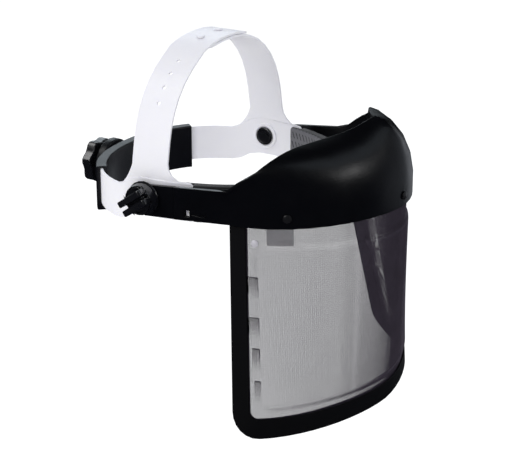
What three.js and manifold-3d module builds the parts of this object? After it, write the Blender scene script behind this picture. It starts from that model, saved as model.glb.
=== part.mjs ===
// A face shield: a wire mesh window hung from a moulded brow guard, which tilts on a
// ratchet headgear with a crown strap. Millimetres, +X the wearer's left, -Y the front,
// +Z up. The origin lies on the tilt axis, midway between the two pivots.
import * as THREE from 'three';
import { mergeVertices } from 'three/addons/utils/BufferGeometryUtils.js';
import Module from 'manifold-3d';

const wasm = await Module();
wasm.setup();

// ---------------------------------------------------------------- driving dimensions
const GAP = 0.3;                       // clearance left between neighbouring pieces

// Headband: the plan of its inner face, and its edges above and below the tilt axis
const HEAD = { halfWidth: 84, front: 104, rear: 76, rearPower: 2.3 };
const BAND = {
  thick: 2, top: 14, bottom: -15.5, topDrop: 9.8, bottomDrop: 7.9, dropFrom: 8, dropTo: 28, tailAngle: 164,
};
const BOSS = { outer: 10.5, inner: 8, high: 1.5, floor: 0.4 };

// Crown strap: an arch across the head, in two halves that lap at the top
const ARCH = { halfWidth: 81, base: 19.6, height: 100, power: 2.24, y: -1.4 };
const STRAP = { thick: 1.7, width: 30.4, foot: -12, inset: 0.15, flareFront: 18, flareRear: 15 };
const LAP = { outerTip: 32, innerTip: 24, rampFrom: -46, rampTo: -30 };
const PEG = { radius: 2.4, head: 3.4, at: [-13, 11.4] };
const STRAP_HOLE = { radius: 1.5, first: -81, pitch: 12.2, count: 4 };

// Sweatband wrapped round the front of the headband
const SWEAT = {
  pad: 4.2, skin: 1.3, top: 13.2, bottom: -15.2, rise: 0.9, flap: 9, padAngle: 74.4, wrapAngle: 69.8,
};
const SHOULDER = { from: 70, to: 71 };  // angles where the band narrows to sit inside the sweatband

// Nape channel that the band's tails slide in, with the ratchet housing behind it
const NAPE = { angle: 136, wall: 3, top: 6, bottom: -29 };
const RATCHET = {
  z: -14.5, neck: 12, drum: 20, drumFrom: 88, drumTo: 95.5, shaft: 4, bore: 4.4, boreDeep: 8,
};
const WHEEL = { radius: 17.2, lobe: 1.3, lobes: 7, phase: 167, from: 101, to: 109.5 };

// Brow guard: lower edge, upper rim by station, bulge of the wall between them
const WALL = 2.2;
const EDGE = { halfWidth: 88.4, corner: -71.2, depth: 94.5, power: 1.85, z: -8.9, frontRise: 4.7 };
const RIM = [
  { s: 0, x: 91.4, y: -73, z: 17.2 },
  { s: 1 / 6, x: 88.6, y: -90, z: 31.8 },
  { s: 1 / 3, x: 77, y: -98.5, z: 40.6 },
  { s: 1 / 2, x: 59, y: -105.5, z: 45.8 },
  { s: 2 / 3, x: 40, y: -116.5, z: 49 },
  { s: 5 / 6, x: 20, y: -129.7, z: 53 },
  { s: 1, x: 0, y: -141, z: 60.7 },
];
const BULGE = { out: 3.85, power: 6, rise: 0.98, weight: 0.92 };
const BEAD = { share: 0.07, deep: 1.4 };    // lip inside the rim, as a share of the wall's height
const GUARD_STEPS = 15;                // stations from each corner to the front
const GUARD_ROWS = [0, 0.18, 0.35, 0.52, 0.68, 0.84, 1];

// Side arms that run back from the guard's corners to the pivots
const ARM = { inner: 86.3, thick: 3, end: 12, endZ: -2.4, stepY: -25, step: 0.7, bore: 4.3 };
const ARM_SLOT = { y: -36.6, z: -6, long: 3.9, high: 5, grooveLong: 12, grooveHigh: 1.4, grooveDeep: 0.7 };

// Tilt pivot: stud from the inside, wing knob on the outside
const STUD = { head: 7.3, headThick: 2, dish: 0.5, shank: 3.5 };
const KNOB = {
  flange: 12.7, flangeThick: 2.2, body: 12.1, bodyTop: 11.3, bodyHigh: 7.4, finHigh: 8.5,
  finLong: 24, finThick: 4.8, finSpread: 7.4, webHigh: 3, angle: -35, boreDeep: 5.5,
};

// Mesh window: a conical sheet from behind the guard down to a flatter bottom edge
const SHEET = {
  thick: 1, topHalf: 83.2, topCorner: -69, topDepth: 92.7, topPower: 1.85, topZ: -4.2,
  bottomHalf: 113.75, bottomCorner: -89.2, bottomDepth: 65, bottomPower: 1.71, bottomZ: -161.5,
  halfLong: 135, high: 157, lap: 9,
};
const BORDER = { side: 12.8, bottom: 14.5, cornerR: 19, thick: 3.4, slot: 0.95, grip: 5.5, seat: 0.5 };
const PANEL = { inset: 8, top: 19, foot: 8, radius: 7.5, raise: 2 };
const RIVET = {
  angles: [-62, 0, 62], above: 5, shank: 1.9, hole: 2.3, head: 3.3, tail: 3, cap: 1.2, lean: 0.5,
};
const CLIP = { shortSide: 4, longSide: 15.5, above: 4.5, thick: 1.6, gap: 0.5 };
const EYELET = { fromSide: 19, down: 16.5, head: 2.8, tail: 2.6, shank: 1.5, hole: 1.9, cap: 0.8 };

// ---------------------------------------------------------------- materials
const paint = (color, roughness, metalness = 0) =>
  new THREE.MeshStandardMaterial({ color, roughness, metalness });
const WHITE = paint(0xe9e9ee, 0.45);
const BLACK = paint(0x15161a, 0.42);
const SOFT_BLACK = paint(0x0d0d10, 0.7);
const FABRIC = paint(0x3b3d43, 0.95);
const STEEL = paint(0x8f8f99, 0.4, 0.9);
const BARE_METAL = paint(0x9fa1a8, 0.35, 1);
const FROSTED = paint(0xb4b4bc, 0.5);

// ---------------------------------------------------------------- shared geometry tools
const degrees = THREE.MathUtils.degToRad;
const smooth = THREE.MathUtils.smoothstep;
const mix = THREE.MathUtils.lerp;
const vector = (x, y, z) => new THREE.Vector3(x, y, z);
const power = (value, exponent) => Math.sign(value) * Math.abs(value) ** exponent;
const steps = (from, to, count) =>
  Array.from({ length: count + 1 }, (_, i) => from + ((to - from) * i) / count);

// A closed body through sections of equal point count. A flat section is capped by its 2-D
// outline; without one, a section is two facing rows, capped as a strip between them, and
// the two faces are split along the same diagonals so that a thin wall stays even.
function loft(sections, outline) {
  const width = sections[0].length;
  const positions = sections.flat().flatMap((p) => [p.x, p.y, p.z]);
  const index = [];
  for (let i = 0; i + 1 < sections.length; i += 1) {
    for (let j = 0; j < width; j += 1) {
      const a = i * width + j;
      const b = i * width + ((j + 1) % width);
      if (outline || j < width / 2) index.push(a, b, b + width, a, b + width, a + width);
      else index.push(a, b, a + width, b, b + width, a + width);
    }
  }
  const last = (sections.length - 1) * width;
  const contour = (outline ?? []).map(([a, b]) => new THREE.Vector2(a, b));
  const strip = steps(0, width / 2 - 2, width / 2 - 2)
    .flatMap((j) => [[j, j + 1, width - 2 - j], [j, width - 2 - j, width - 1 - j]]);
  const cap = outline ? THREE.ShapeUtils.triangulateShape(contour, []) : strip;
  const clockwise = outline && THREE.ShapeUtils.isClockWise(contour);
  for (const [a, b, c] of cap) {
    if (clockwise) index.push(a, b, c, last + a, last + c, last + b);
    else index.push(a, c, b, last + a, last + b, last + c);
  }
  const geometry = new THREE.BufferGeometry();
  geometry.setAttribute('position', new THREE.Float32BufferAttribute(positions, 3));
  geometry.setIndex(index);
  if (signedVolume(geometry) < 0) {
    for (let i = 0; i < index.length; i += 3) [index[i], index[i + 1]] = [index[i + 1], index[i]];
    geometry.setIndex(index);
  }
  return geometry;
}

function signedVolume(geometry) {
  const at = (k) => new THREE.Vector3().fromBufferAttribute(geometry.attributes.position, k);
  const index = geometry.index.array;
  let sum = 0;
  for (let i = 0; i < index.length; i += 3) {
    sum += at(index[i]).dot(at(index[i + 1]).cross(at(index[i + 2])));
  }
  return sum / 6;
}

// Geometry to a manifold solid, and back.
function solid(source) {
  const bare = new THREE.BufferGeometry();
  bare.setAttribute('position', source.attributes.position.clone());
  if (source.index) bare.setIndex(source.index);
  const merged = mergeVertices(bare, 1e-4);
  return new wasm.Manifold(new wasm.Mesh({
    numProp: 3,
    vertProperties: new Float32Array(merged.attributes.position.array),
    triVerts: new Uint32Array(merged.index.array),
  }));
}

function geometryOf(body) {
  const { vertProperties, triVerts } = body.getMesh();
  const geometry = new THREE.BufferGeometry();
  geometry.setAttribute('position', new THREE.BufferAttribute(vertProperties, 3));
  geometry.setIndex(new THREE.BufferAttribute(triVerts, 1));
  return geometry;
}

const joined = (bodies) => bodies.reduce((sum, body) => sum.add(body));
const cut = (body, tools) => tools.reduce((rest, tool) => rest.subtract(tool), body);

// A turned body on the line from origin point along a direction; profile rows are [radius, along].
function turned(profile, origin, direction, segments = 28) {
  const lathe = new THREE.LatheGeometry(profile.map(([r, a]) => new THREE.Vector2(r, a)), segments);
  const turn = new THREE.Quaternion().setFromUnitVectors(vector(0, 1, 0), direction.clone().normalize());
  return solid(lathe.applyQuaternion(turn).translate(origin.x, origin.y, origin.z));
}

const rod = (radius, from, to, origin, direction, segments = 28) =>
  turned([[0, from], [radius, from], [radius, to], [0, to]], origin, direction, segments);

function block(long, deep, high, centre) {
  return solid(new THREE.BoxGeometry(long, deep, high).translate(centre.x, centre.y, centre.z));
}

const mirrored = (points, side) => points.map((p) => vector(side * p.x, p.y, p.z));

const group = new THREE.Group();
function add(name, geometry, material) {
  geometry.computeVertexNormals();
  const mesh = new THREE.Mesh(geometry, material);
  mesh.name = name;
  group.add(mesh);
}

// ---------------------------------------------------------------- headband plan
// Angle 0 is the front, 90 the wearer's left, 180 the nape.
function headPlan(angle) {
  const sin = Math.sin(degrees(angle));
  const cos = Math.cos(degrees(angle));
  if (cos >= 0) return vector(HEAD.halfWidth * sin, -HEAD.front * cos, 0);
  const exponent = 2 / HEAD.rearPower;
  return vector(HEAD.halfWidth * power(sin, exponent), HEAD.rear * Math.abs(cos) ** exponent, 0);
}

// A point at an offset outside the band's inner face, at height z.
function ringPoint(angle, offset, z) {
  const here = headPlan(angle);
  const along = headPlan(angle + 0.2).sub(headPlan(angle - 0.2)).normalize();
  return vector(here.x + along.y * offset, here.y - along.x * offset, z);
}

const ringLoft = (angles, outline) =>
  loft(angles.map((angle) => outline(angle).map(([offset, z]) => ringPoint(angle, offset, z))),
    outline(angles[0]));

// ---------------------------------------------------------------- headband with crown strap
function bandOutline(angle) {
  const drop = smooth(headPlan(angle).y, BAND.dropFrom, BAND.dropTo);
  const bare = smooth(Math.abs(angle), SHOULDER.from, SHOULDER.to);
  const low = mix(SWEAT.bottom + SWEAT.rise + GAP, BAND.bottom - BAND.bottomDrop * drop, bare);
  const high = mix(SWEAT.top - SWEAT.rise - GAP, BAND.top - BAND.topDrop * drop, bare);
  const bevel = 0.6;
  return [
    [0, low], [BAND.thick - bevel, low], [BAND.thick, low + bevel], [BAND.thick, high - bevel],
    [BAND.thick - bevel, high], [0, high],
  ];
}

// The arch's centre line in the XZ plane, sampled with its length measured from the top.
function archSamples() {
  const points = [];
  for (const z of steps(STRAP.foot, ARCH.base, 9)) points.push(vector(ARCH.halfWidth, 0, z));
  for (const t of steps(3, 90, 40)) {
    const x = ARCH.halfWidth * Math.abs(Math.cos(degrees(t))) ** (2 / ARCH.power);
    const z = ARCH.base + (ARCH.height - ARCH.base) * Math.sin(degrees(t)) ** (2 / ARCH.power);
    points.push(vector(t === 90 ? 0 : x, 0, z));
  }
  for (const p of points) {
    const lean = 1 - smooth(p.z, BAND.top, 40);
    p.x += (HEAD.halfWidth - ARCH.halfWidth) * lean;
  }
  return points;
}

const ARCH_HALF = archSamples();
const ARCH_CURVE = [...mirrored(ARCH_HALF, -1), ...ARCH_HALF.slice(0, -1).reverse()];
const ARCH_LENGTHS = ARCH_CURVE.reduce((list, p, i) => {
  list.push(i ? list[i - 1] + p.distanceTo(ARCH_CURVE[i - 1]) : 0);
  return list;
}, []);
const ARCH_MID = ARCH_LENGTHS[ARCH_HALF.length - 1];

// Point, outward normal and tangent of the arch at length s from the top; s < 0 is the right side.
function archAt(s) {
  const want = THREE.MathUtils.clamp(s + ARCH_MID, 0, ARCH_LENGTHS.at(-1));
  let k = 1;
  while (k < ARCH_LENGTHS.length - 1 && ARCH_LENGTHS[k] < want) k += 1;
  const share = (want - ARCH_LENGTHS[k - 1]) / (ARCH_LENGTHS[k] - ARCH_LENGTHS[k - 1]);
  const point = ARCH_CURVE[k - 1].clone().lerp(ARCH_CURVE[k], share);
  const before = ARCH_CURVE[Math.max(k - 2, 0)];
  const after = ARCH_CURVE[Math.min(k + 1, ARCH_CURVE.length - 1)];
  const tangent = after.clone().sub(before).normalize();
  return { point, normal: vector(-tangent.z, 0, tangent.x) };
}

// How far the strap's front and rear edges spread where it runs into the band.
function strapEdges(z) {
  const half = STRAP.width / 2;
  const frontRise = THREE.MathUtils.clamp((z - BAND.top + 2) / 14, 0, 1);
  const rearRise = THREE.MathUtils.clamp((z - BAND.top + BAND.topDrop + 1) / 18, 0, 1);
  const fillet = (rise) => 1 - Math.sqrt(1 - (1 - rise) ** 2);
  return [
    ARCH.y - half - STRAP.flareFront * fillet(frontRise),
    ARCH.y + half + STRAP.flareRear * mix(fillet(rearRise), 1 - rearRise, 0.5),
  ];
}

const STRAP_COLUMNS = [0, 0.22, 0.5, 0.78, 1];

// One half of the strap between two lengths; lift raises the outer half over the lap.
function strapHalf(lengths, lift, tipAt) {
  const sections = lengths.map((s) => {
    const { point, normal } = archAt(s);
    const [front, rear] = strapEdges(point.z);
    const fade = 1 - smooth(point.z, BAND.top, 46);
    const tip = Math.sqrt(Math.max(0, 1 - Math.max(0, 1 - Math.abs(tipAt - s) / 7) ** 2));
    const narrow = 0.62 + 0.38 * tip;
    const place = (column, offset) => {
      const y = ARCH.y + (mix(front, rear, column) - ARCH.y) * narrow;
      const reach = y < 0 ? HEAD.front : HEAD.rear;
      const exponent = y < 0 ? 2 : HEAD.rearPower;
      const inward = HEAD.halfWidth * (1 - (1 - Math.abs(y / reach) ** exponent) ** (1 / exponent));
      const side = Math.sign(s);
      return point.clone().addScaledVector(normal, offset).add(vector(-side * inward * fade, y, 0));
    };
    const middle = STRAP.inset + STRAP.thick / 2 + lift(s);
    const half = (STRAP.thick / 2) * (1 - 0.4 * (1 - smooth(point.z, BAND.top - 3, BAND.top + 6)));
    return [
      ...STRAP_COLUMNS.map((c) => place(c, middle - half)),
      ...[...STRAP_COLUMNS].reverse().map((c) => place(c, middle + half)),
    ];
  });
  return solid(loft(sections));
}

function makeHeadband() {
  const rear = steps(SHOULDER.to, BAND.tailAngle, 17);
  const front = steps(-SHOULDER.from, SHOULDER.from, 22);
  const angles = [...[...rear].reverse().map((a) => -a), ...front, ...rear];
  const band = solid(ringLoft(angles, bandOutline));
  const foot = ARCH_MID;
  const lapLift = STRAP.thick + GAP;
  const tip = (end, way) => steps(end - 5 * way, end, 3);
  const right = strapHalf([
    -foot, ...steps(13 - foot, 38 - foot, 6), ...steps(-108, LAP.outerTip - 8, 12), ...tip(LAP.outerTip, 1),
  ], (s) => lapLift * smooth(s, LAP.rampFrom, LAP.rampTo), LAP.outerTip);
  const left = strapHalf([
    foot, ...steps(foot - 13, foot - 38, 6), ...steps(108, 8 - LAP.innerTip, 10), ...tip(-LAP.innerTip, -1),
  ], () => 0, -LAP.innerTip);
  const drill = (s, radius) => {
    const { point, normal } = archAt(s);
    return rod(radius, -6, 9, point.setY(ARCH.y), normal, 10);
  };
  const holes = steps(0, STRAP_HOLE.count - 1, STRAP_HOLE.count - 1)
    .map((i) => drill(STRAP_HOLE.first + i * STRAP_HOLE.pitch, STRAP_HOLE.radius));
  const pegHoles = PEG.at.map((s) => drill(s, PEG.radius + GAP));
  const pegs = PEG.at.map((s) => {
    const { point, normal } = archAt(s);
    const top = STRAP.inset + 2 * STRAP.thick + 2 * GAP;
    return turned([
      [0, 0.5], [PEG.radius, 0.5], [PEG.radius, top], [PEG.head, top], [PEG.head - 0.7, top + 1.1],
      [0, top + 1.1],
    ], point.setY(ARCH.y), normal, 12);
  });
  const axis = vector(1, 0, 0);
  const centre = vector(0, 0, 0);
  const inside = HEAD.halfWidth - BOSS.high;
  const disc = (radius, from, to) =>
    [1, -1].map((side) => rod(radius, from, to, centre, axis.clone().multiplyScalar(side), 20));
  const bosses = disc(BOSS.outer, inside, HEAD.halfWidth + BOSS.floor);
  const dishes = disc(BOSS.inner, inside - 2, HEAD.halfWidth - BOSS.floor);
  const bore = rod(STUD.shank + GAP + 0.2, -100, 100, centre, axis);
  const rightDrilled = cut(right, [...holes, ...pegHoles]);
  return cut(joined([band, rightDrilled, left, ...pegs, ...bosses]), [...dishes, bore]);
}

// ---------------------------------------------------------------- sweatband
function makeSweatband() {
  const inner = -GAP - SWEAT.pad;
  const outer = BAND.thick + GAP + SWEAT.skin;
  const clear = {
    in: -GAP, out: BAND.thick + GAP, low: SWEAT.bottom + SWEAT.rise, high: SWEAT.top - SWEAT.rise,
  };
  const wrap = [
    [inner + 1, SWEAT.bottom], [outer, SWEAT.bottom], [outer, SWEAT.bottom + SWEAT.flap],
    [clear.out, SWEAT.bottom + SWEAT.flap], [clear.out, clear.low], [clear.in, clear.low],
    [clear.in, clear.high], [clear.out, clear.high], [clear.out, SWEAT.top - SWEAT.flap],
    [outer, SWEAT.top - SWEAT.flap], [outer, SWEAT.top], [inner + 1, SWEAT.top],
    [inner, SWEAT.top - 1], [inner, SWEAT.bottom + 1],
  ];
  const pad = [
    [inner + 1, SWEAT.bottom], [clear.in, SWEAT.bottom], [clear.in, SWEAT.top],
    [inner + 1, SWEAT.top], [inner, SWEAT.top - 1], [inner, SWEAT.bottom + 1],
  ];
  const ends = [-1, 1].map((side) =>
    solid(ringLoft(steps(side * (SWEAT.wrapAngle - 3), side * SWEAT.padAngle, 2), () => pad)));
  return joined([solid(ringLoft(steps(-SWEAT.wrapAngle, SWEAT.wrapAngle, 22), () => wrap)), ...ends]);
}

// ---------------------------------------------------------------- nape channel and ratchet
function makeNape() {
  const [inner, outer] = [-GAP - NAPE.wall, BAND.thick + GAP + NAPE.wall];
  const bevel = 0.8;
  const shell = solid(ringLoft(steps(NAPE.angle, 360 - NAPE.angle, 22), () => [
    [inner + bevel, NAPE.bottom], [outer - bevel, NAPE.bottom], [outer, NAPE.bottom + bevel],
    [outer, NAPE.top - bevel], [outer - bevel, NAPE.top], [inner + bevel, NAPE.top],
    [inner, NAPE.top - bevel], [inner, NAPE.bottom + bevel],
  ]));
  const low = BAND.bottom - BAND.bottomDrop - GAP;
  const high = BAND.top - BAND.topDrop + GAP;
  const slots = [1, -1].map((side) => {
    const angles = steps(side * (NAPE.angle - 3), side * (BAND.tailAngle + 2), 8);
    return solid(ringLoft(angles, () =>
      [[-GAP, low], [BAND.thick + GAP, low], [BAND.thick + GAP, high], [-GAP, high]]));
  });
  const hub = vector(0, 0, RATCHET.z);
  const rearward = vector(0, 1, 0);
  const housing = turned([
    [0, HEAD.rear + BAND.thick + 1], [RATCHET.neck, HEAD.rear + BAND.thick + 1],
    [RATCHET.neck, RATCHET.drumFrom], [RATCHET.drum - 1, RATCHET.drumFrom],
    [RATCHET.drum, RATCHET.drumFrom + 1], [RATCHET.drum, RATCHET.drumTo - 1],
    [RATCHET.drum - 1, RATCHET.drumTo], [0, RATCHET.drumTo],
  ], hub, rearward, 24);
  const bore = rod(RATCHET.bore, RATCHET.drumTo - RATCHET.boreDeep, RATCHET.drumTo + 5, hub, rearward);
  return cut(joined([shell, housing]), [...slots, bore]);
}

function makeRatchetWheel() {
  const rim = steps(0, 360, WHEEL.lobes * 5).slice(0, -1).map((angle) => {
    const radius = WHEEL.radius + WHEEL.lobe * Math.cos(degrees((angle - WHEEL.phase) * WHEEL.lobes));
    return new THREE.Vector2(radius * Math.cos(degrees(angle)), radius * Math.sin(degrees(angle)));
  });
  const wheel = new THREE.ExtrudeGeometry(new THREE.Shape(rim), {
    depth: WHEEL.to - WHEEL.from - 1.6, bevelSize: 0.8, bevelThickness: 0.8, bevelOffset: -0.8,
    bevelSegments: 1,
  });
  wheel.rotateX(Math.PI / 2).translate(0, WHEEL.to - 0.8, RATCHET.z);
  const hub = vector(0, 0, RATCHET.z);
  const shaftEnd = RATCHET.drumTo - RATCHET.boreDeep + GAP;
  const shaft = rod(RATCHET.shaft, shaftEnd, WHEEL.to - 2, hub, vector(0, 1, 0));
  return joined([solid(wheel), shaft]);
}

// ---------------------------------------------------------------- brow guard
const rimHalf = RIM.map((r) => vector(r.x, r.y, r.z));
const rimSpline = new THREE.CatmullRomCurve3(
  [...rimHalf, ...mirrored(rimHalf, -1).slice(0, -1).reverse()], false, 'catmullrom', 0.5);

// Lower edge of the guard; angle is 90 at a corner and 0 at the front.
function edgePoint(angle) {
  const sin = Math.sin(degrees(angle));
  const cos = Math.max(0, Math.cos(degrees(angle)));
  const exponent = 2 / EDGE.power;
  return vector(EDGE.halfWidth * power(sin, exponent), EDGE.corner - EDGE.depth * cos ** exponent,
    EDGE.z + EDGE.frontRise * cos * cos);
}

const rimPoint = (angle) => rimSpline.getPoint((90 - angle) / 180);

// Outer face of the guard at an angle and a share v of the way up.
function guardPoint(angle, v) {
  const low = edgePoint(angle);
  const high = rimPoint(angle);
  const along = edgePoint(Math.min(angle + 0.5, 90)).sub(edgePoint(Math.max(angle - 0.5, -90)));
  const outward = vector(along.y, -along.x, 0).normalize();
  const amount = BULGE.out * (1 - (Math.abs(angle) / 90) ** BULGE.power);
  const mid = low.clone().addScaledVector(outward, amount).setZ(mix(low.z, high.z, BULGE.rise));
  const [a, b, c] = [(1 - v) ** 2, 2 * BULGE.weight * v * (1 - v), v * v];
  return low.multiplyScalar(a).addScaledVector(mid, b).addScaledVector(high, c).divideScalar(a + b + c);
}

// Outer face of an arm, from its round end at the pivot to the guard's corner.
function armPoint(side, y, v) {
  const share = THREE.MathUtils.clamp(y / EDGE.corner, 0, 1);
  const spread = THREE.MathUtils.clamp((y - ARM.stepY) / (EDGE.corner - ARM.stepY), 0, 1);
  const flat = ARM.inner + ARM.thick + (y < ARM.stepY ? ARM.step : 0);
  const x = mix(flat, mix(EDGE.halfWidth, RIM[0].x, v), spread);
  const half = Math.sqrt(ARM.end ** 2 - Math.max(y, 0) ** 2);
  const low = mix(ARM.endZ - half, EDGE.z, share);
  const high = mix(ARM.endZ + half, RIM[0].z, share);
  const lean = (RIM[0].y - EDGE.corner) * v * share;
  return vector(side * x, y + lean, mix(low, high, v));
}

// Sections run from the left pivot round the front to the right pivot.
const ARM_YS = [
  ...[78, 58, 38, 18, 0].map((a) => ARM.end * Math.sin(degrees(a))),
  ARM.stepY + 0.4, ARM.stepY - 0.4, -48, -61,
];
const GUARD_COLUMNS = [
  ...ARM_YS.map((y) => ({ thick: ARM.thick, bead: 0, at: (v) => armPoint(1, y, v) })),
  ...steps(90, -90, 2 * GUARD_STEPS).map((angle) => ({
    thick: WALL, bead: BEAD.deep * smooth(90 - Math.abs(angle), 6, 26), at: (v) => guardPoint(angle, v),
  })),
  ...[...ARM_YS].reverse().map((y) => ({ thick: ARM.thick, bead: 0, at: (v) => armPoint(-1, y, v) })),
];

function makeGuard() {
  const beadFoot = 1 - BEAD.share;
  const innerRows = [1, beadFoot, beadFoot - 0.015, 0.7, 0.47, 0.23, 0];
  const sections = GUARD_COLUMNS.map(({ thick, bead, at }, i) => {
    const before = GUARD_COLUMNS[Math.max(i - 1, 0)].at;
    const after = GUARD_COLUMNS[Math.min(i + 1, GUARD_COLUMNS.length - 1)].at;
    const inside = (v) => {
      const across = after(v).sub(before(v));
      const up = at(Math.min(v + 0.04, 1)).sub(at(Math.max(v - 0.04, 0)));
      return at(v).addScaledVector(across.cross(up).normalize(), thick + (v >= beadFoot ? bead : 0));
    };
    return [...GUARD_ROWS.map(at), ...innerRows.map(inside)];
  });
  const tools = [rod(ARM.bore, -120, 120, vector(0, 0, 0), vector(1, 0, 0))];
  for (const side of [1, -1]) {
    const outer = ARM.inner + ARM.thick;
    tools.push(block(12, ARM_SLOT.long, ARM_SLOT.high, vector(side * outer, ARM_SLOT.y, ARM_SLOT.z)));
    const groove = vector(side * (outer + ARM.step + 2.5 - ARM_SLOT.grooveDeep),
      ARM_SLOT.y - ARM_SLOT.grooveLong / 2 - ARM_SLOT.long, ARM_SLOT.z);
    tools.push(block(5, ARM_SLOT.grooveLong, ARM_SLOT.grooveHigh, groove));
  }
  for (const place of rivetPlaces()) {
    tools.push(rod(RIVET.hole, -8, 8, place.point, place.outward, 14));
  }
  return cut(solid(loft(sections)), tools);
}

// Rivets stand a little above the guard's lower edge, square to its wall.
function rivetPlaces() {
  return RIVET.angles.map((angle) => {
    const low = guardPoint(angle, 0);
    const v = RIVET.above / guardPoint(angle, 1).distanceTo(low);
    const across = guardPoint(angle + 1, v).sub(guardPoint(angle - 1, v));
    const up = guardPoint(angle, v + 0.02).sub(guardPoint(angle, v));
    const outward = across.cross(up).normalize();
    if (outward.y > 0) outward.negate();
    return { angle, point: guardPoint(angle, v), outward };
  });
}

// ---------------------------------------------------------------- mesh window
// A curve of the sheet's plan, by share of its half length: -1 and 1 are the ends.
function sheetCurve(half, corner, depth, exponent, z) {
  const points = steps(90, -90, 180).map((angle) => {
    const cos = Math.max(0, Math.cos(degrees(angle)));
    const x = half * power(Math.sin(degrees(angle)), 2 / exponent);
    return vector(x, corner - depth * cos ** (2 / exponent), z);
  });
  const lengths = [0];
  for (let i = 1; i < points.length; i += 1) {
    lengths.push(lengths[i - 1] + points[i].distanceTo(points[i - 1]));
  }
  return (share) => {
    const want = ((1 - share) / 2) * lengths.at(-1);
    let k = 1;
    while (k < points.length - 1 && lengths[k] < want) k += 1;
    const part = (want - lengths[k - 1]) / (lengths[k] - lengths[k - 1]);
    return points[k - 1].clone().lerp(points[k], part);
  };
}

const sheetTop = sheetCurve(SHEET.topHalf, SHEET.topCorner, SHEET.topDepth, SHEET.topPower, SHEET.topZ);
const sheetBottom = sheetCurve(SHEET.bottomHalf, SHEET.bottomCorner, SHEET.bottomDepth, SHEET.bottomPower,
  SHEET.bottomZ);

// Point of the sheet's middle face: u runs across from the centre, v down from the guard's edge.
const sheetPoint = (u, v) =>
  sheetTop(u / SHEET.halfLong).lerp(sheetBottom(u / SHEET.halfLong), v / SHEET.high);

function sheetFrame(u, v) {
  const across = sheetPoint(u + 1.5, v).sub(sheetPoint(u - 1.5, v)).normalize();
  const down = sheetPoint(u, v + 1).sub(sheetPoint(u, v - 1)).normalize();
  const outward = across.clone().cross(down).normalize();
  if (outward.y > 0) outward.negate();
  return { across, down, outward };
}

const sheetAt = (u, v, out) => sheetPoint(u, v).addScaledVector(sheetFrame(u, v).outward, out);

// The middle of the window stands forward inside a rounded rectangle.
function panelRaise(u, v) {
  const half = SHEET.halfLong - BORDER.side - PANEL.inset - PANEL.radius;
  const top = PANEL.top + PANEL.radius;
  const foot = SHEET.high - BORDER.bottom - PANEL.foot - PANEL.radius;
  const reach = Math.hypot(Math.max(Math.abs(u) - half, 0), Math.max(top - v, v - foot, 0)) - PANEL.radius;
  return PANEL.raise * (1 - smooth(reach, -1, 1));
}

function makeWindow() {
  const inset = BORDER.grip + BORDER.seat;
  const [widest, lowest] = [SHEET.halfLong - inset, SHEET.high - inset];
  const cornerR = BORDER.cornerR - inset;
  const panelEdge = (SHEET.halfLong - BORDER.side - PANEL.inset) / widest;
  const halfColumns = [
    ...steps(0, 0.72, 8), 0.79, panelEdge - 0.012, panelEdge + 0.006, 0.9, 0.935, 0.97, 1,
  ];
  const columns = [...halfColumns.slice(1).reverse().map((c) => -c), ...halfColumns];
  const panelFoot = SHEET.high - BORDER.bottom - PANEL.foot;
  const rows = [
    -SHEET.lap, PANEL.top - 1.2, PANEL.top + 1.2, panelFoot - 1.2, panelFoot + 1.2,
    ...[0.25, 0.55, 0.8, 0.95].map((share) => lowest - cornerR * (1 - share)),
  ];
  const sections = rows.map((v) => {
    const below = Math.max(0, v - (lowest - cornerR));
    const half = widest - cornerR + Math.sqrt(Math.max(cornerR ** 2 - below ** 2, 0));
    const face = (out) => columns.map((c) => sheetAt(c * half, v, out + panelRaise(c * half, v)));
    return [...face(-SHEET.thick / 2), ...face(SHEET.thick / 2).reverse()];
  });
  const tools = rivetPlaces().map(({ point, outward }) => rod(RIVET.hole, -12, 6, point, outward, 14));
  for (const { point, outward } of eyeletPlaces()) tools.push(rod(EYELET.hole, -5, 5, point, outward, 14));
  return cut(solid(loft(sections)), tools);
}

// A folded edge binding that grips the sheet down both sides and along the bottom.
function makeBorder() {
  const side = SHEET.halfLong;
  const turn = BORDER.cornerR;
  const corner = (sign) => (angle) => ({
    u: sign * (side - turn + turn * Math.cos(degrees(angle))),
    v: SHEET.high - turn + turn * Math.sin(degrees(angle)),
    inU: -sign * Math.cos(degrees(angle)),
    inV: -Math.sin(degrees(angle)),
  });
  const down = (sign) => (v) => ({ u: sign * side, v, inU: -sign, inV: 0 });
  const heights = [-SHEET.lap + 1, 60, 125];
  const path = [
    ...heights.map(down(1)), ...steps(0, 90, 6).map(corner(1)),
    ...steps(107, -107, 20).map((u) => ({ u, v: SHEET.high, inU: 0, inV: -1 })),
    ...steps(90, 0, 6).map(corner(-1)), ...[...heights].reverse().map(down(-1)),
  ];
  const half = BORDER.thick / 2;
  const middle = (BORDER.grip + BORDER.side) / 2;
  const outline = (wide) => [
    [0.6, -half], [wide, -half], [wide, -BORDER.slot], [middle, -BORDER.slot],
    [BORDER.grip, -BORDER.slot], [BORDER.grip, BORDER.slot], [middle, BORDER.slot], [wide, BORDER.slot],
    [wide, half], [0.6, half], [0, half - 0.7], [0, -half + 0.7],
  ];
  const sections = path.map(({ u, v, inU, inV }) => {
    const wide = mix(BORDER.side, BORDER.bottom, Math.abs(inV));
    const { outward } = sheetFrame(u + inU * 3, v + inV * 3);
    return outline(wide).map(([a, out]) =>
      sheetPoint(u + inU * a, v + inV * a).addScaledVector(outward, out));
  });
  return solid(loft(sections, outline(BORDER.side)));
}

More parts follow.
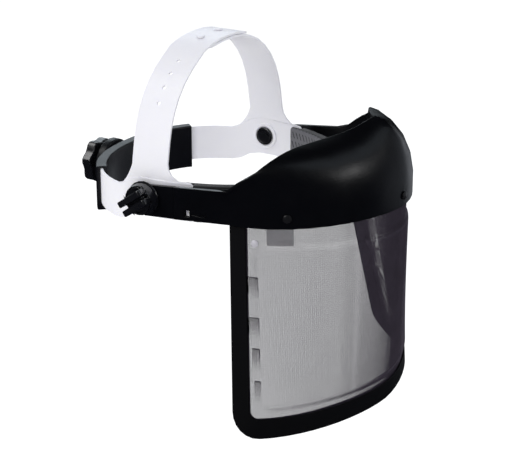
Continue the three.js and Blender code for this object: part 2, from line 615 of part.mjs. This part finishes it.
// ---------------------------------------------------------------- rivets, clips and eyelets
// Where a rivet's axis meets the sheet's middle face: how far in, and the sheet's own u and v.
function sheetBehind({ point, outward }) {
  let found = { gap: Infinity };
  for (const depth of steps(0, 9, 90)) {
    const p = point.clone().addScaledVector(outward, -depth);
    const v = ((SHEET.topZ - p.z) * SHEET.high) / (SHEET.topZ - SHEET.bottomZ);
    for (const u of steps(-SHEET.halfLong, SHEET.halfLong, 540)) {
      const gap = sheetPoint(u, v).distanceTo(p);
      if (gap < found.gap) found = { gap, depth, u, v };
    }
  }
  return found;
}

function domedPin(place, shape, innerDepth) {
  const under = GAP;
  const tail = -innerDepth - GAP;
  return turned([
    [0, tail - shape.cap], [shape.tail * 0.7, tail - shape.cap], [shape.tail, tail],
    [shape.shank, tail], [shape.shank, under], [shape.head, under], [shape.head, under + shape.cap * 0.35],
    [shape.head * 0.7, under + shape.cap * 0.85], [0, under + shape.cap],
  ], place.point, place.outward, 10);
}

function eyeletPlaces() {
  return [1, -1].map((side) => {
    const [u, v] = [side * (SHEET.halfLong - EYELET.fromSide), EYELET.down];
    return { point: sheetAt(u, v, SHEET.thick / 2 + panelRaise(u, v)), outward: sheetFrame(u, v).outward };
  });
}

// A plate behind the sheet at each side rivet, hanging below the guard.
function makeClip(place, meets) {
  const out = -SHEET.thick / 2 - CLIP.gap;
  const side = Math.sign(meets.u);
  const [near, far] = [meets.u - side * CLIP.shortSide, meets.u + side * CLIP.longSide];
  const sections = steps(meets.v - CLIP.above, PANEL.top - 1.5, 2).map((v) => {
    const across = steps(near, far, 3);
    const face = (offset) => across.map((u) => sheetAt(u, v, offset));
    return [...face(out), ...face(out - CLIP.thick).reverse()];
  });
  return cut(solid(loft(sections)), [rod(RIVET.hole, -14, 2, place.point, place.outward, 14)]);
}

// ---------------------------------------------------------------- pivot studs and wing knobs
function makeStud(side) {
  const face = HEAD.halfWidth - BOSS.floor - GAP;
  const crown = face - STUD.headThick;
  const end = ARM.inner + ARM.thick + GAP + KNOB.boreDeep - GAP;
  return turned([
    [0, crown + STUD.dish], [STUD.head - 2.2, crown + STUD.dish], [STUD.head - 1.4, crown],
    [STUD.head, crown + 0.5], [STUD.head, face], [STUD.shank, face],
    [STUD.shank, end], [0, end],
  ], vector(0, 0, 0), vector(side, 0, 0), 16);
}

// Two upright fins joined by a low web, on a round body with a flange against the arm.
function makeKnob(side) {
  const base = ARM.inner + ARM.thick + GAP;
  const crown = base + KNOB.flangeThick + KNOB.bodyHigh;
  const centre = vector(0, 0, 0);
  const outward = vector(side, 0, 0);
  const body = turned([
    [0, base], [KNOB.flange, base], [KNOB.flange, base + KNOB.flangeThick - 0.6],
    [KNOB.flange - 0.8, base + KNOB.flangeThick], [KNOB.body, base + KNOB.flangeThick],
    [KNOB.bodyTop, crown - 0.8], [KNOB.bodyTop - 1, crown], [0, crown],
  ], centre, outward, 20);
  // Fin length along the knob's own direction, its height outward along the axis.
  const lengthwise = vector(0, Math.cos(degrees(KNOB.angle)), Math.sin(degrees(KNOB.angle)));
  const sideways = lengthwise.clone().cross(outward);
  const stand = new THREE.Matrix4().makeBasis(lengthwise, outward, sideways)
    .setPosition(side * crown, 0, 0);
  const [half, rise, round] = [KNOB.finLong / 2, KNOB.finHigh, 3];
  const outline = new THREE.Shape();
  outline.moveTo(-half + 2, -1).lineTo(half - 2, -1).lineTo(half, rise - round);
  outline.absarc(half - round, rise - round, round, 0, Math.PI / 2);
  outline.lineTo(0, rise - 1.5).lineTo(-half + round, rise);
  outline.absarc(-half + round, rise - round, round, Math.PI / 2, Math.PI);
  const upright = (offset) => {
    const shape = { depth: KNOB.finThick, bevelEnabled: false, curveSegments: 2 };
    const fin = new THREE.ExtrudeGeometry(outline, shape);
    fin.translate(0, 0, offset - KNOB.finThick / 2);
    return solid(fin.applyMatrix4(stand));
  };
  const web = new THREE.BoxGeometry(KNOB.finLong * 0.62, KNOB.webHigh + 1, KNOB.finSpread)
    .translate(0, (KNOB.webHigh - 1) / 2, 0).applyMatrix4(stand);
  const fins = [upright(-KNOB.finSpread / 2), upright(KNOB.finSpread / 2)];
  const bore = rod(STUD.shank + GAP, base - 1, base + KNOB.boreDeep, centre, outward);
  return cut(joined([body, solid(web), ...fins]), [bore]);
}

// ---------------------------------------------------------------- the assembly
add('headband', geometryOf(makeHeadband()), WHITE);
add('sweatband', geometryOf(makeSweatband()), FABRIC);
add('nape_channel', geometryOf(makeNape()), SOFT_BLACK);
add('ratchet_knob', geometryOf(makeRatchetWheel()), BLACK);
add('brow_guard', geometryOf(makeGuard()), BLACK);
add('mesh_window', geometryOf(makeWindow()), STEEL);
add('window_border', geometryOf(makeBorder()), SOFT_BLACK);
for (const [side, word] of [[-1, 'right'], [1, 'left']]) {
  add(`pivot_stud_${word}`, geometryOf(makeStud(side)), BLACK);
  add(`wing_knob_${word}`, geometryOf(makeKnob(side)), BLACK);
}
for (const place of rivetPlaces()) {
  const meets = sheetBehind(place);
  const word = { 1: 'left', 0: 'front', [-1]: 'right' }[Math.sign(place.angle)];
  const behind = RIVET.lean + (place.angle ? CLIP.gap + CLIP.thick : 0);
  const pin = domedPin(place, RIVET, meets.depth + SHEET.thick / 2 + behind);
  add(`rivet_${word}`, geometryOf(pin), BLACK);
  if (place.angle) add(`mesh_clip_${word}`, geometryOf(makeClip(place, meets)), FROSTED);
}
for (const place of eyeletPlaces()) {
  const word = place.point.x > 0 ? 'left' : 'right';
  add(`eyelet_${word}`, geometryOf(domedPin(place, EYELET, SHEET.thick)), BARE_METAL);
}

export default group;
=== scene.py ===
import math

import bmesh
import bpy
from mathutils import Matrix, Vector


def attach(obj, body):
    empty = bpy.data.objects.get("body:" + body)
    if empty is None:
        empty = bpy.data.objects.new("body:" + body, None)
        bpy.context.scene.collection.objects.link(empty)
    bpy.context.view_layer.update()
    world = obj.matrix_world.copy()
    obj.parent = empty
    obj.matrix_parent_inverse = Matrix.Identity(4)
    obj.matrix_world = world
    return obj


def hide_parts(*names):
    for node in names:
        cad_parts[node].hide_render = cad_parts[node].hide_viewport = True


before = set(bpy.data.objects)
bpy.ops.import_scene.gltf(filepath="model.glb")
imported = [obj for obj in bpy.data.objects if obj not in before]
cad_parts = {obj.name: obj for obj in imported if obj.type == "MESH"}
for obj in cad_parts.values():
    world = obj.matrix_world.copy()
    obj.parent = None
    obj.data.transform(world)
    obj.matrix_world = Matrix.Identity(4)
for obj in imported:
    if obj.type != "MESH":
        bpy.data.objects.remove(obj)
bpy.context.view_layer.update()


# ---------------------------------------------------------------- headband and crown strap
# One white moulding of flexible plastic: a band round the head, and a strap over the crown whose
# two tongues lap and snap together on pegs. Its edges are round and its face is faintly cloudy.
WELD = 4e-6  # corners closer than this are one corner
FLAT = math.radians(0.4)  # faces that turn less than this are one face
CREASE = math.radians(34)  # edges that turn more than this are eased


class Reading:
    """A value that runs between shader nodes; arithmetic on it adds Math nodes."""

    def __init__(self, finish, socket):
        self.finish = finish
        self.socket = socket

    def __add__(self, other):
        return self.finish.maths("ADD", self, other)

    def __sub__(self, other):
        return self.finish.maths("SUBTRACT", self, other)

    def __mul__(self, other):
        return self.finish.maths("MULTIPLY", self, other)

    __radd__ = __add__
    __rmul__ = __mul__


class Finish:
    """A surface finish: one Principled shader and the nodes that vary it."""

    def __init__(self, name, **constants):
        self.material = bpy.data.materials.new(name)
        self.material.use_nodes = True
        self.tree = self.material.node_tree
        self.shader = self.tree.nodes["Principled BSDF"]
        for socket, value in constants.items():
            self.shader.inputs[socket.replace("_", " ")].default_value = value

    def node(self, kind, settings=None, inputs=None, output=0):
        """Adds a node, with its settings first and then its sockets' values or links."""
        made = self.tree.nodes.new(kind)
        for key, value in (settings or {}).items():
            setattr(made, key, value)
        for key, value in (inputs or {}).items():
            if isinstance(value, Reading):
                self.tree.links.new(value.socket, made.inputs[key])
            else:
                made.inputs[key].default_value = value
        return Reading(self, made.outputs[output])

    def maths(self, operation, first, second):
        return self.node("ShaderNodeMath", {"operation": operation}, {0: first, 1: second})

    def noise(self, scale, detail=3.0):
        """Noise fixed to the piece's own coordinates."""
        place = self.node("ShaderNodeTexCoord", output=3)
        inputs = {"Vector": place, "Scale": scale, "Detail": detail}
        return self.node("ShaderNodeTexNoise", None, inputs)

    def blend(self, share, first, second):
        return self.node("ShaderNodeMix", {"data_type": "RGBA"}, {0: share, 6: first, 7: second}, 2)

    def feed(self, **readings):
        for socket, reading in readings.items():
            self.tree.links.new(reading.socket, self.shader.inputs[socket.replace("_", " ")])

    def relief(self, height, distance):
        inputs = {"Height": height, "Distance": distance, "Strength": 1.0}
        self.feed(Normal=self.node("ShaderNodeBump", None, inputs))


def welded(node):
    """A solid of the frame as an editable form, its corners joined."""
    form = bmesh.new()
    form.from_mesh(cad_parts[node].data)
    bmesh.ops.remove_doubles(form, verts=form.verts, dist=WELD)
    return form


def placed(form, name):
    """An edited form as an object of the scene."""
    mesh = bpy.data.meshes.new(name)
    form.to_mesh(mesh)
    form.free()
    made = bpy.data.objects.new(name, mesh)
    bpy.context.scene.collection.objects.link(made)
    return made


def moulded(name, node, body, finish, ease):
    """A piece made from a solid: welded, its corners eased, and shaded soft between them."""
    form = welded(node)
    bmesh.ops.dissolve_degenerate(form, edges=form.edges, dist=WELD)
    bmesh.ops.dissolve_limit(form, angle_limit=FLAT, verts=form.verts, edges=form.edges)
    corners = [edge for edge in form.edges if edge.calc_face_angle(0) > CREASE]
    bmesh.ops.bevel(form, geom=corners, offset=ease, offset_type="OFFSET", affect="EDGES",
                    segments=2, profile=0.5, clamp_overlap=False, material=-1)
    for face in form.faces:
        face.smooth = True
    piece = placed(form, name)
    piece.data.materials.append(finish.material)
    piece.modifiers.new("even", "WEIGHTED_NORMAL").keep_sharp = True
    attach(piece, body)
    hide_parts(node)


milky = Finish("milky_plastic", Roughness=0.42, IOR=1.5, Subsurface_Weight=0.12,
               Subsurface_Radius=(0.004, 0.004, 0.005))
cloud = milky.noise(38.0, 4.0)
milky.feed(Base_Color=milky.blend(cloud, (0.90, 0.89, 0.95, 1), (0.95, 0.945, 0.985, 1)))
milky.feed(Roughness=0.34 + 0.16 * milky.noise(240.0, 2.0))
milky.relief(milky.noise(620.0, 2.0) + 4.0 * milky.noise(55.0, 1.0), 0.00006)
moulded("crown_strap_and_band", "headband", "headgear", milky, ease=0.0003)


# ---------------------------------------------------------------- sweatband
# A strip of padded cloth folded round the front of the headband. The face that meets the forehead
# is grey perforated cloth over foam, and the outside is black.
PAD = {"voxel": 0.0009, "softening": 0.6, "rounds": 4, "fill": 0.7}
HEAD = {"half_wide": 0.084, "half_long": 0.104, "mean": 0.095}
SLITS = {"across": 230.0, "up": 130.0, "wide": 0.15, "high": 0.34, "lean": 0.45, "dark": 0.9}


def padded_strip():
    """The sweatband's solid remade as one soft, even skin."""
    block = placed(welded("sweatband"), "sweatband_block")
    skin = block.modifiers.new("skin", "REMESH")
    skin.mode = "VOXEL"
    skin.voxel_size = PAD["voxel"]
    soften = block.modifiers.new("soften", "SMOOTH")
    soften.factor = PAD["softening"]
    soften.iterations = PAD["rounds"]
    bpy.context.view_layer.update()
    evaluated = block.evaluated_get(bpy.context.evaluated_depsgraph_get())
    made = bpy.data.meshes.new_from_object(evaluated)
    bpy.data.objects.remove(block)
    made.name = "sweatband_pad"
    return made


def inwardness(vertex):
    """1 where the skin faces the forehead, falling to 0 on its edges and its outside."""
    outward = Vector((vertex.co.x / HEAD["half_wide"], vertex.co.y / HEAD["half_long"], 0))
    if outward.length >= 0.99:
        return 0.0
    faces_in = -vertex.normal.dot(outward.normalized())
    return min(1.0, max(0.0, 3 * faces_in - 0.6))


cloth = Finish("perforated_cloth", Roughness=0.92, Sheen_Weight=0.25)
strip_mesh = padded_strip()
inner_face = strip_mesh.attributes.new("inner_face", "FLOAT", "POINT")
along = strip_mesh.uv_layers.new(name="along")
pad = bpy.data.objects.new("sweatband_pad", strip_mesh)
bpy.context.scene.collection.objects.link(pad)
for vertex in strip_mesh.vertices:
    inner_face.data[vertex.index].value = inwardness(vertex)
for loop in strip_mesh.loops:
    spot = strip_mesh.vertices[loop.vertex_index].co
    along.data[loop.index].uv = (math.atan2(spot.x, -spot.y) * HEAD["mean"], spot.z)
for polygon in strip_mesh.polygons:
    polygon.use_smooth = True
strip_mesh.materials.append(cloth.material)
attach(pad, "headgear")
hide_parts("sweatband")
run = cloth.node("ShaderNodeUVMap", {"uv_map": "along"})
across = cloth.node("ShaderNodeSeparateXYZ", None, {0: run}, 0)
upward = cloth.node("ShaderNodeSeparateXYZ", None, {0: run}, 1)
slant = across - SLITS["lean"] * upward
column = cloth.maths("PINGPONG", slant * SLITS["across"], 0.5)
row = cloth.maths("PINGPONG", upward * SLITS["up"], 0.5)
slit = cloth.maths("LESS_THAN", column, SLITS["wide"]) * cloth.maths("LESS_THAN", row, SLITS["high"])
inside = cloth.node("ShaderNodeAttribute", {"attribute_name": "inner_face"}, None, 2)
thread = cloth.noise(1500.0, 2.0)
grey = cloth.blend(thread, (0.10, 0.10, 0.112, 1), (0.19, 0.19, 0.208, 1))
dotted = cloth.blend(slit * SLITS["dark"], grey, (0.015, 0.015, 0.018, 1))
cloth.feed(Base_Color=cloth.blend(inside, (0.012, 0.012, 0.014, 1), dotted))
cloth.relief(thread - 1.5 * slit * inside, 0.0004)


# ---------------------------------------------------------------- nape channel and ratchet wheel
# The channel that the band's tails slide in, with a drum behind it, and the seven-lobed wheel that
# draws the tails together. Both are black nylon; the channel gets a darker, less glossy copy of it,
# painted shade that keeps lamp reflections off its inside.
def black_plastic(name, tone, shine, grain, gleam):
    """Black moulded plastic: its tone and gloss wander a little and it carries a fine grain."""
    plastic = Finish(name, Roughness=shine, Specular_IOR_Level=gleam)
    wander = plastic.noise(26.0, 4.0)
    lighter = tuple(1.9 * c for c in tone)
    plastic.feed(Base_Color=plastic.blend(wander, (*tone, 1), (*lighter, 1)))
    plastic.feed(Roughness=(shine - 0.08) + 0.16 * plastic.noise(90.0, 5.0))
    plastic.relief(plastic.noise(grain, 3.0), 0.00005)
    return plastic


nylon = black_plastic("black_nylon", (0.0030, 0.0032, 0.0048), shine=0.28, grain=900.0, gleam=1.0)
# The channel's nylon is a darker, less glossy copy of the wheel's: painted shade on its inside.
shaded_nylon_finish = black_plastic("shaded_nylon", (0.0018, 0.0020, 0.0034), shine=0.38, grain=700.0, gleam=0.4)
moulded("nape_channel_cover", "nape_channel", "headgear", shaded_nylon_finish, ease=0.0005)
moulded("ratchet_wheel", "ratchet_knob", "headgear", nylon, ease=0.0006)


# ---------------------------------------------------------------- tilt pivots
# At each temple a round-headed stud comes out through the band and the arm, and a wing knob screws
# on it to hold the visor where it is put. Both are moulded from the wheel's black nylon.
for side in ("right", "left"):
    stud, knob = f"pivot_stud_{side}", f"wing_knob_{side}"
    moulded(f"temple_stud_{side}", stud, "headgear", nylon, ease=0.0004)
    moulded(f"wing_nut_{side}", knob, knob, nylon, ease=0.0009)


# ---------------------------------------------------------------- brow guard
# The moulded visor carrier: a deep curved wall over the brow with a lip round its open top, and two
# arms that run back to the pivots. It is glossier than the rest, from a polished mould.
polished = black_plastic("polished_black", (0.0010, 0.0011, 0.0020), shine=0.33, grain=500.0, gleam=0.45)
moulded("brow_shell", "brow_guard", "visor", polished, ease=0.0004)


# ---------------------------------------------------------------- window border
# A soft black edging, folded over the mesh down both sides and along the foot and pressed flat.
rubbery = black_plastic("soft_edging", (0.0014, 0.0014, 0.0020), shine=0.55, grain=1200.0, gleam=0.15)
moulded("window_edging", "window_border", "visor", rubbery, ease=0.0006)


# ---------------------------------------------------------------- mesh window
# Fine steel gauze, painted dark: upright wires in front, cross wires fused on behind. The sheet is
# rolled to a cone, its middle is pressed forward as a panel, and its side strips are notched.
# In each notch the wires are drawn thicker towards its top: painted shade under the notch's ledge.
WIRE = {"pitch": 0.0006, "radius": 0.000168, "apart": 0.00008, "stray": 0.03, "step": 5, "bend": 0.0002}
SHEET = {"half": 0.135, "high": 0.157, "lap": 0.0085, "inset": 0.0062, "corner": 0.019}
SHEET_TOP = {"half": 0.0832, "corner": -0.069, "depth": 0.0927, "power": 1.85, "height": -0.0042}
SHEET_FOOT = {"half": 0.11375, "corner": -0.0892, "depth": 0.065, "power": 1.71, "height": -0.1615}
PANEL = {"side": 0.1142, "top": 0.019, "foot": 0.1345, "radius": 0.0075, "raise": 0.002}
NOTCHES = (
    {"top": 0.0408, "far": 0.1235},
    {"top": 0.0696, "far": 0.1235},
    {"top": 0.0922, "far": 0.1205},
    {"top": 0.1156, "far": 0.1185},
)
# A notch's wires are drawn thicker at its top and less so further down: painted shade under its ledge.
NOTCH = {"high": 0.0165, "deep": 0.0036, "shade_swell": 0.45}
NEAR = 0.001  # a short way along the sheet, to find which way it runs


def plan_curve(half, corner, depth, power, height):
    """The sheet's plan at one height, as a function of the share of its half length."""
    points = []
    for half_degrees in range(361):
        angle = math.radians(90 - half_degrees / 2)
        width = math.copysign(abs(math.sin(angle)) ** (2 / power), angle)
        forward = depth * max(0, math.cos(angle)) ** (2 / power)
        points.append(Vector((half * width, corner - forward, height)))
    lengths = [0.0]
    for before, after in zip(points, points[1:]):
        lengths.append(lengths[-1] + (after - before).length)

    def at(share):
        want = (1 - share) / 2 * lengths[-1]
        low, high = 0, len(points) - 1
        while high - low > 1:
            middle = (low + high) // 2
            low, high = (middle, high) if lengths[middle] < want else (low, middle)
        part = (want - lengths[low]) / (lengths[high] - lengths[low])
        return points[low].lerp(points[high], part)

    return at


def smooth_step(value, low, high):
    share = min(1.0, max(0.0, (value - low) / (high - low)))
    return share * share * (3 - 2 * share)


def notch_depth(u, v):
    """0 outside the notches; inside one it falls from 1 at the top to 0 at the bottom."""
    for notch in NOTCHES:
        below = v - notch["top"]
        if PANEL["side"] < abs(u) < notch["far"] and 0 <= below < NOTCH["high"]:
            return 1 - below / NOTCH["high"]
    return 0.0


def pressed(u, v):
    """How far the sheet is pressed out of its cone: the panel forward, the notches back."""
    half, top = PANEL["side"] - PANEL["radius"], PANEL["top"] + PANEL["radius"]
    foot = PANEL["foot"] - PANEL["radius"]
    reach = math.hypot(max(abs(u) - half, 0), max(top - v, v - foot, 0)) - PANEL["radius"]
    panel = PANEL["raise"] * (1 - smooth_step(reach, -0.001, 0.004))
    return panel - NOTCH["deep"] * notch_depth(u, v)


def kept(places, height):
    """Every few places along a wire, and each place where the pressed shape bends sharply."""
    chosen = []
    for k, place in enumerate(places):
        before, after = places[max(k - 1, 0)], places[min(k + 1, len(places) - 1)]
        bend = abs(height(before) - 2 * height(place) + height(after))
        if k % WIRE["step"] == 0 or bend > WIRE["bend"]:
            chosen.append(place)
    return chosen


def wire_section():
    """The three-sided outline that is drawn along every wire."""
    outline = bpy.data.curves.new("wire_section", "CURVE")
    ring = outline.splines.new("POLY")
    ring.points.add(2)
    ring.use_cyclic_u = True
    for k, point in enumerate(ring.points):
        turn = math.radians(120 * k)
        point.co = (WIRE["radius"] * math.cos(turn), WIRE["radius"] * math.sin(turn), 0, 1)
    made = bpy.data.objects.new("wire_section", outline)
    bpy.context.scene.collection.objects.link(made)
    return made


def wire_path(fixed, stations, upright, stray):
    """The places along one wire, each with how much the wire is thickened there, as painted shade at the
    notches' tops.
    """
    corner = SHEET["corner"] - SHEET["inset"]
    widest, lowest = SHEET["half"] - SHEET["inset"], SHEET["high"] - SHEET["inset"]
    path = []
    for moving in stations:
        u, v = (fixed, moving) if upright else (moving, fixed)
        if math.hypot(max(abs(u) - widest + corner, 0), max(v - lowest + corner, 0)) > corner:
            continue
        top, foot, top_on, foot_on = rails[round(u / WIRE["pitch"])]
        spot = top.lerp(foot, v / SHEET["high"])
        on = top_on.lerp(foot_on, v / SHEET["high"])
        outward = (on - spot).cross(foot - top).normalized()
        spot += stray * ((on - spot) if upright else NEAR * (foot - top).normalized())
        if outward.y > 0:
            outward.negate()
        out = pressed(u, v) + (WIRE["apart"] if upright else -WIRE["apart"])
        # In a notch the wire is drawn thicker towards its top, as painted shade.
        path.append((*(spot + out * outward), 1 + NOTCH["shade_swell"] * notch_depth(u, v)))
    return path


def wires(name, lines, stations, upright):
    """Wires laid over the sheet, as one mesh."""
    laid = bpy.data.curves.new(name, "CURVE")
    laid.dimensions = "3D"
    laid.bevel_mode = "OBJECT"
    laid.bevel_object = section
    for order, fixed in enumerate(lines):
        path = wire_path(fixed, stations, upright, WIRE["stray"] * math.sin(2.4 * order))
        if len(path) < 2:
            continue
        spline = laid.splines.new("POLY")
        spline.points.add(len(path) - 1)
        for point, (x, y, z, shade_swell) in zip(spline.points, path):
            point.co = (x, y, z, 1)
            point.radius = shade_swell
    drawn = bpy.data.objects.new(name + "_run", laid)
    bpy.context.scene.collection.objects.link(drawn)
    bpy.context.view_layer.update()
    evaluated = drawn.evaluated_get(bpy.context.evaluated_depsgraph_get())
    mesh = bpy.data.meshes.new_from_object(evaluated)
    bpy.data.objects.remove(drawn)
    mesh.name = name
    for polygon in mesh.polygons:
        polygon.use_smooth = True
    mesh.materials.clear()
    mesh.materials.append(wire.material)
    piece = bpy.data.objects.new(name, mesh)
    bpy.context.scene.collection.objects.link(piece)
    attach(piece, "visor")
    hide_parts("mesh_window")


sheet_top, sheet_foot = plan_curve(**SHEET_TOP), plan_curve(**SHEET_FOOT)
count = int((SHEET["half"] - SHEET["inset"]) / WIRE["pitch"])
columns = [k * WIRE["pitch"] for k in range(-count, count + 1)]
row_count = int((SHEET["high"] + SHEET["lap"] - SHEET["inset"]) / WIRE["pitch"])
rows = [k * WIRE["pitch"] - SHEET["lap"] for k in range(row_count)]
rails = {}
for place in columns:
    share, next_share = place / SHEET["half"], (place + NEAR) / SHEET["half"]
    rails[round(place / WIRE["pitch"])] = (
        sheet_top(share), sheet_foot(share), sheet_top(next_share), sheet_foot(next_share))
row_stations = kept(rows, lambda v: pressed(0, v) + pressed(PANEL["side"] + NEAR, v))
column_stations = kept(
    columns, lambda u: pressed(u, 0.06) + sum(pressed(u, notch["top"] + NEAR) for notch in NOTCHES))
wire = Finish("painted_wire", Roughness=0.6, Specular_IOR_Level=0.3)
patches = wire.noise(60.0, 4.0)
wire.feed(Base_Color=wire.blend(patches, (0.038, 0.030, 0.045, 1), (0.066, 0.053, 0.078, 1)))
wire.feed(Roughness=0.38 + 0.3 * wire.noise(300.0, 2.0))
wire.relief(wire.noise(4000.0, 1.0), 0.00003)
section = wire_section()
wires("upright_wires", columns, row_stations, upright=True)
wires("cross_wires", rows, column_stations, upright=False)
bpy.data.objects.remove(section)


# ---------------------------------------------------------------- rivets, eyelets and clips
# Blind rivets painted black hold the mesh to the guard. Plates of thin frosted plastic stiffen the
# mesh behind the side rivets, and an aluminium eyelet closes each upper corner of it.
painted = black_plastic("painted_rivet", (0.004, 0.004, 0.005), shine=0.34, grain=1400.0, gleam=0.5)
frosted = Finish("frosted_plastic", Roughness=0.5, Alpha=0.4)
frosted.feed(Base_Color=frosted.blend(
    frosted.noise(300.0), (0.50, 0.49, 0.54, 1), (0.66, 0.65, 0.70, 1)))
frosted.feed(Roughness=0.40 + 0.2 * frosted.noise(900.0, 2.0))
frosted.relief(frosted.noise(1400.0, 3.0), 0.00003)
alloy = Finish("dull_alloy", Metallic=0.4, Roughness=0.5)
alloy.feed(Base_Color=alloy.blend(
    alloy.noise(500.0, 4.0), (0.62, 0.60, 0.66, 1), (0.76, 0.74, 0.80, 1)))
alloy.feed(Roughness=0.40 + 0.2 * alloy.noise(1600.0, 2.0))
alloy.relief(alloy.noise(1800.0, 3.0), 0.00003)
for side in ("right", "front", "left"):
    moulded(f"blind_rivet_{side}", f"rivet_{side}", "visor", painted, ease=0.00015)
for side in ("right", "left"):
    eyelet, clip = f"eyelet_{side}", f"mesh_clip_{side}"
    moulded(f"corner_eyelet_{side}", eyelet, "visor", alloy, ease=0.0001)
    moulded(f"clip_plate_{side}", clip, "visor", frosted, ease=0.0002)


# ---------------------------------------------------------------- floor and light
# A pale floor that glows like a lit sweep, under soft boxes: a small one ahead, a wide one above
# it, large cool ones at the left and behind, and two over the wearer's right shoulder.
FLOOR = {"half": 12, "height": -0.48}

ground = bmesh.new()
bmesh.ops.create_grid(ground, x_segments=1, y_segments=1, size=FLOOR["half"])
bmesh.ops.translate(ground, verts=ground.verts, vec=(0, 0, FLOOR["height"]))
floor = placed(ground, "floor")
pale = Finish("pale_floor", Base_Color=(0.3, 0.3, 0.3, 1), Roughness=0.9, Emission_Color=(1, 1, 1, 1),
              Emission_Strength=0.87)
floor.data.materials.append(pale.material)
floor.visible_glossy = False

world = bpy.data.worlds.new("studio")
bpy.context.scene.world = world
world.use_nodes = True
backdrop = world.node_tree.nodes["Background"]
backdrop.inputs["Color"].default_value = (0.96, 0.97, 1.0, 1)
backdrop.inputs["Strength"].default_value = 0.55
world.cycles_visibility.glossy = False

WHITE, COOL, COOLER = (1, 1, 1), (0.84, 0.93, 1.0), (0.80, 0.90, 1.0)
BLUISH, FAINT_BLUE = (0.84, 0.90, 1.0), (0.88, 0.92, 1.0)


def soft_box(name, azimuth, elevation, distance, wide, high, watts, tint):
    """An area light turned to the middle of the mask; azimuth 0 is ahead of it, 90 its left."""
    lamp = bpy.data.lights.new(name, "AREA")
    lamp.shape = "RECTANGLE"
    lamp.size, lamp.size_y = wide, high
    lamp.energy = watts
    lamp.color = tint
    box = bpy.data.objects.new(name, lamp)
    a, e = math.radians(azimuth), math.radians(elevation)
    towards = Vector((math.sin(a) * math.cos(e), -math.cos(a) * math.cos(e), math.sin(e)))
    middle = Vector((0, -0.05, -0.02))
    box.location = middle + distance * towards
    box.rotation_euler = towards.to_track_quat("Z", "Y").to_euler()
    bpy.context.scene.collection.objects.link(box)


soft_box("box_ahead", -8, 24, 1.8, wide=0.42, high=0.36, watts=2.6, tint=WHITE)
soft_box("box_brow", -4, 50, 1.8, wide=1.3, high=0.8, watts=2, tint=COOLER)
soft_box("box_right", -102, 27, 1.8, wide=0.7, high=0.7, watts=5.5, tint=WHITE)
soft_box("box_left", 88, -12, 2.2, wide=0.9, high=0.9, watts=1.2, tint=FAINT_BLUE)
soft_box("box_side", 48, 8, 2.2, wide=2.6, high=2.4, watts=6, tint=BLUISH)
soft_box("box_behind", 132, 24, 2.2, wide=2.2, high=0.9, watts=12, tint=COOL)
soft_box("box_over", -150, 49, 2.0, wide=0.8, high=0.6, watts=6.5, tint=WHITE)


# ---------------------------------------------------------------- camera
# It looks down on the mask's right side from ahead, with a long lens.
VIEW = {"azimuth": -59.5, "elevation": 20.54, "distance": 1.3525, "lens": 119.26, "sensor": 36}
SHIFT = {"right": 0.04233, "up": -0.04985}

camera = bpy.data.objects.new("camera", bpy.data.cameras.new("camera"))
bpy.context.scene.collection.objects.link(camera)
camera.data.lens = VIEW["lens"]
camera.data.sensor_width = VIEW["sensor"]
camera.data.sensor_fit = "HORIZONTAL"
camera.data.clip_end = 60
turn, tip = math.radians(VIEW["azimuth"]), math.radians(VIEW["elevation"])
back = Vector((math.sin(turn) * math.cos(tip), -math.cos(turn) * math.cos(tip), math.sin(tip)))
right = Vector((math.cos(turn), math.sin(turn), 0))
rise = back.cross(right)
stance = Matrix((right, rise, back)).transposed().to_4x4()
stance.translation = SHIFT["right"] * right + SHIFT["up"] * rise + VIEW["distance"] * back
camera.matrix_world = stance
bpy.context.scene.camera = camera
bpy.context.scene.view_settings.view_transform = "Standard"
